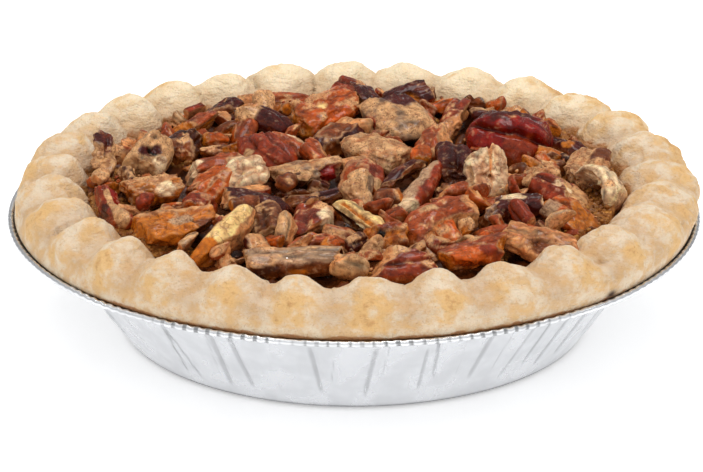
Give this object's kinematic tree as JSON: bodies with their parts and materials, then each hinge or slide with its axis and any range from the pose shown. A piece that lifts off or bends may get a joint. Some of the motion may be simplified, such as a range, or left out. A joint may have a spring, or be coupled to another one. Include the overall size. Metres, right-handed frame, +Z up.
{
  "type": "pecan pie",
  "caption": "Round whole pecan pie in its own foil tin: fluted pastry rim, set syrup filling and a heap of chopped pecans.",
  "frame": {"origin": "centre of the tin's flat base, on the surface that the pie stands on", "axes": "+Z up through the middle of the pie, +X to the right and +Y away when it is seen from its front"},
  "size_m": [0.232, 0.232, 0.0601],
  "materials": {
    "foil": "bright rolled foil",
    "pastry": "matte baked pastry, golden patches",
    "filling": "glossy set syrup",
    "pecan": "syrup-glazed nut, ridged skin and broken flesh"
  },
  "bodies": {
    "root": {"crust": "pastry", "filling": "filling", "pecan_chunk_amber_rear": "pecan", "pecan_chunk_caramel_block": "pecan", "pecan_chunk_cream_over_purple": "pecan", "pecan_chunk_far_right_lump": "pecan", "pecan_chunk_front_orange": "pecan", "pecan_chunk_left_amber": "pecan", "pecan_chunk_left_brown": "pecan", "pecan_chunk_left_clump": "pecan", "pecan_chunk_middle_front": "pecan", "pecan_chunk_middle_low": "pecan", "pecan_chunk_tall_slotted": "pecan", "pecan_chunk_tan_block_left": "pecan", "pecan_chunk_tan_bubbly": "pecan", "pecan_end_bent_red": "pecan", "pecan_end_caramel_front": "pecan", "pecan_end_dark_cavity": "pecan", "pecan_end_dark_middle": "pecan", "pecan_end_front_red": "pecan", "pecan_end_grey_notched": "pecan", "pecan_end_left_small_skin": "pecan", "pecan_end_orange_right": "pecan", "pecan_end_pale_edged_red": "pecan", "pecan_end_purple_left": "pecan", "pecan_end_rear_right_low": "pecan", "pecan_end_rear_skin_mid": "pecan", "pecan_end_red_block": "pecan", "pecan_end_red_centre": "pecan", "pecan_end_red_ledge": "pecan", "pecan_end_red_ridged": "pecan", "pecan_end_striped_right": "pecan", "pecan_end_tall_rear": "pecan", "pecan_end_tan_oval": "pecan", "pecan_end_two_tone_rear": "pecan", "pecan_half_big_half": "pecan", "pecan_half_front_slab": "pecan", "pecan_kernel_cream_cracked": "pecan", "pecan_kernel_cream_flower": "pecan", "pecan_kernel_orange_ball": "pecan", "pecan_kernel_orange_knob": "pecan", "pecan_kernel_round_tan": "pecan", "pecan_kernel_small_right": "pecan", "pecan_sliver_left_fin": "pecan", "pecan_sliver_purple_strip": "pecan", "pecan_sliver_thin_brown": "pecan", "pecan_stick_cream_curl": "pecan", "pecan_stick_cream_stick": "pecan", "pecan_stick_front_cream": "pecan", "pecan_stick_glazed_side": "pecan", "pecan_stick_left_bend": "pecan", "pecan_stick_long_dark_skin": "pecan", "pecan_stick_long_diagonal": "pecan", "pecan_stick_purple_mid": "pecan", "pecan_stick_rear_corner": "pecan", "pecan_stick_rear_left_red": "pecan", "pecan_stick_rear_right_long": "pecan", "pecan_stick_rear_skin_left": "pecan", "pecan_stick_slab_right": "pecan", "pie_tin": "foil"}
  },
  "joints": []
}
